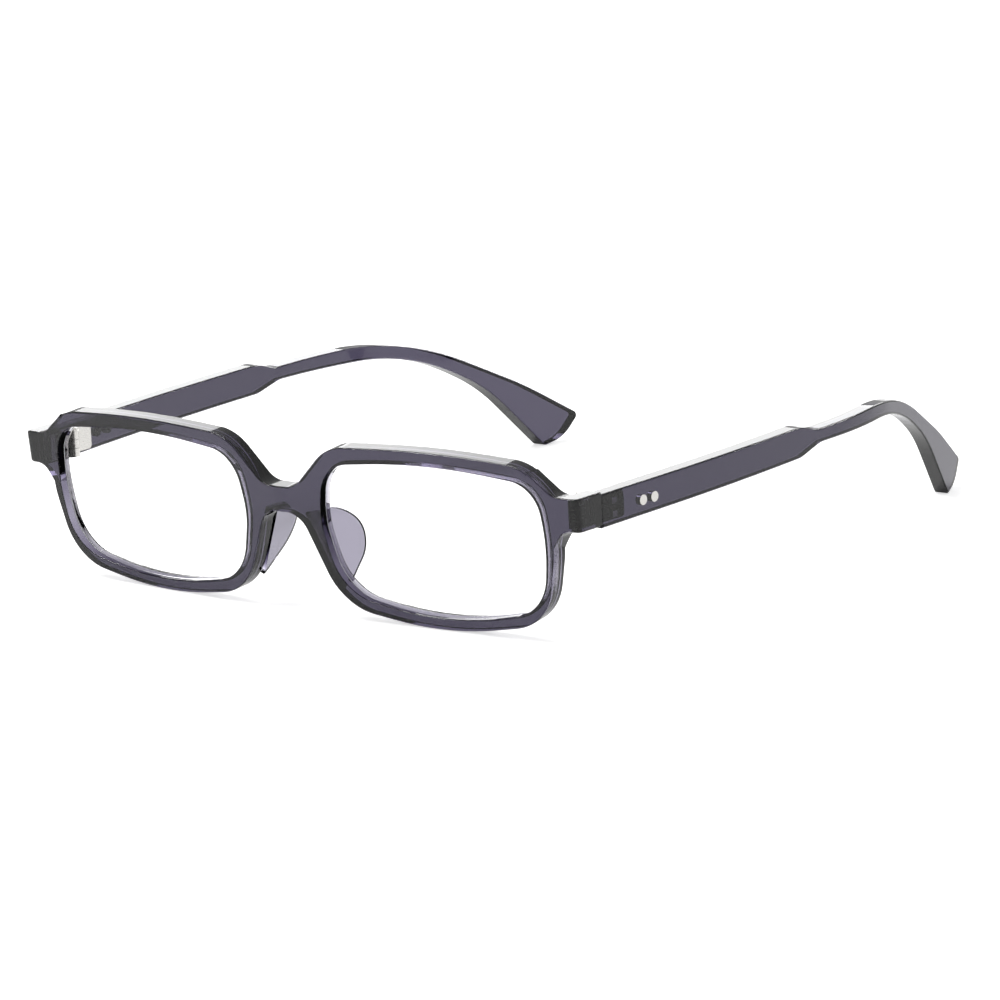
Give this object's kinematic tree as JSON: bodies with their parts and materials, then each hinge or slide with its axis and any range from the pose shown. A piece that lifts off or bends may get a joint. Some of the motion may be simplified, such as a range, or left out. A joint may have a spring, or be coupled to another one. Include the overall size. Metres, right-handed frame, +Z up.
{
  "type": "rectangular eyeglasses",
  "caption": "Rectangular full-rim eyeglasses in translucent plastic: wrapped front, grooved rims with clear lenses, nose pads and stepped temples on barrel hinges.",
  "frame": {"origin": "middle of the box round the open glasses, on the table they stand on", "axes": "+X towards the wearer's left, +Y back along the temples, +Z up"},
  "size_m": [0.1442, 0.1503, 0.0353],
  "materials": {
    "smoke_plastic": "polished translucent smoke",
    "clear_pad": "polished translucent",
    "demo_lens": "clear",
    "silver_metal": "polished"
  },
  "bodies": {
    "front": {"front_frame": "smoke_plastic", "left_lens": "demo_lens", "right_lens": "demo_lens", "left_nose_pad": "clear_pad", "right_nose_pad": "clear_pad", "left_front_hinge": "silver_metal", "right_front_hinge": "silver_metal", "left_hinge_screw": "silver_metal", "right_hinge_screw": "silver_metal"},
    "left_temple_arm": {"left_temple": "smoke_plastic", "left_temple_hinge": "silver_metal", "left_front_rivet": "silver_metal", "left_rear_rivet": "silver_metal"},
    "right_temple_arm": {"right_temple": "smoke_plastic", "right_temple_hinge": "silver_metal", "right_front_rivet": "silver_metal", "right_rear_rivet": "silver_metal"}
  },
  "joints": [
    {"name": "left_temple_fold", "type": "hinge", "parent": "front", "child": "left_temple_arm", "pos_m": [0.06513, -0.0627, 0.02512], "axis": [0, 0, 1], "range_deg": [0, 84.5]},
    {"name": "right_temple_fold", "type": "hinge", "parent": "front", "child": "right_temple_arm", "pos_m": [-0.06513, -0.0627, 0.02512], "axis": [0, 0, -1], "range_deg": [0, 76]}
  ]
}
